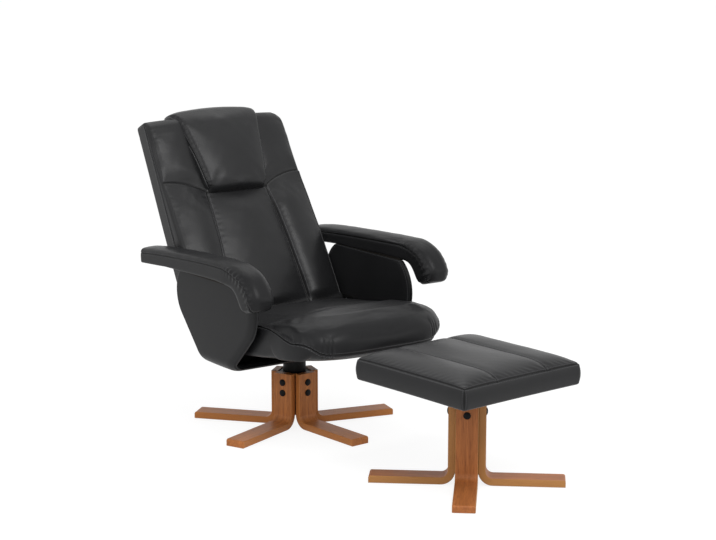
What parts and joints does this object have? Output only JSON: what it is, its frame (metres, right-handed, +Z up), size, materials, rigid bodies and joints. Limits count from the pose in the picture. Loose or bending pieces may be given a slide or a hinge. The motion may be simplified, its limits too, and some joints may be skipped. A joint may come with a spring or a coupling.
{
  "type": "recliner with footstool",
  "caption": "Swivel recliner in dark padded upholstery with bent-wood legs, side shells, padded arms, a headrest and a matching square footstool.",
  "frame": {"origin": "on the floor, at the middle of the whole set's footprint, under the gap between chair and footstool", "axes": "+Z up, -Y the way the sitter faces, +X to the sitter's left"},
  "size_m": [0.764, 1.6281, 0.9988],
  "materials": {
    "black_leather": "satin",
    "chair_wood": "satin",
    "stool_wood": "satin",
    "plywood": "matte",
    "black_steel": "satin",
    "plain_steel": "satin",
    "black_plastic": "matte"
  },
  "bodies": {
    "base": {"chair_leg_1": "chair_wood", "chair_leg_2": "chair_wood", "chair_leg_3": "chair_wood", "chair_leg_4": "chair_wood", "chair_leg_5": "chair_wood", "chair_hub": "black_steel", "chair_leg_bolts": "black_steel", "chair_leg_glides": "black_plastic", "swivel_column": "black_steel", "upper_bush": "black_plastic", "lower_bush": "black_plastic"},
    "seat": {"swivel_spindle": "plain_steel", "spindle_ring": "plain_steel", "swivel_plate": "black_steel", "swivel_plate_bolts": "plain_steel", "side_shell": "black_leather", "seat_wedge_left": "plywood", "seat_wedge_right": "plywood", "seat_board": "plywood", "seat_cushion": "black_leather", "arm_board_left": "plywood", "arm_board_right": "plywood", "arm_pad_left": "black_leather", "arm_pad_right": "black_leather", "arm_screws": "plain_steel", "hinge_bracket_left": "black_steel", "hinge_bracket_right": "black_steel", "hinge_bracket_screws": "plain_steel", "hinge_pin_left": "plain_steel", "hinge_pin_right": "plain_steel", "friction_disc_left": "black_plastic", "friction_disc_right": "black_plastic"},
    "back": {"back_frame": "plywood", "back_cushion": "black_leather", "back_cover": "black_leather", "headrest_pad": "black_leather", "hinge_arm_left": "black_steel", "hinge_arm_right": "black_steel", "hinge_arm_screws": "plain_steel", "hinge_bush_left": "black_plastic", "hinge_bush_right": "black_plastic"},
    "knob": {"recline_knob": "black_plastic", "knob_stud": "plain_steel", "clamp_nut": "plain_steel"},
    "footstool": {"stool_leg_1": "stool_wood", "stool_leg_2": "stool_wood", "stool_leg_3": "stool_wood", "stool_leg_4": "stool_wood", "stool_hub": "black_steel", "stool_leg_bolts": "black_steel", "stool_leg_glides": "black_plastic", "stool_plate": "black_steel", "stool_plate_screws": "plain_steel", "stool_board": "plywood", "stool_cushion": "black_leather"}
  },
  "joints": [
    {"name": "chair_swivel", "type": "hinge", "parent": "base", "child": "seat", "pos_m": [0, 0.274, 0.2], "axis": [0, 0, 1], "continuous": true},
    {"name": "back_recline", "type": "hinge", "parent": "seat", "child": "back", "pos_m": [0, 0.409, 0.366], "axis": [-1, 0, 0], "range_deg": [0, 35]},
    {"name": "recline_knob_turn", "type": "hinge", "parent": "seat", "child": "knob", "pos_m": [0.31, 0.409, 0.366], "axis": [1, 0, 0], "range_deg": [0, 270]},
    {"name": "footstool_slide", "type": "slide", "parent": "base", "child": "footstool", "axis": [0, -1, 0], "range_m": [0, 0.3]}
  ]
}
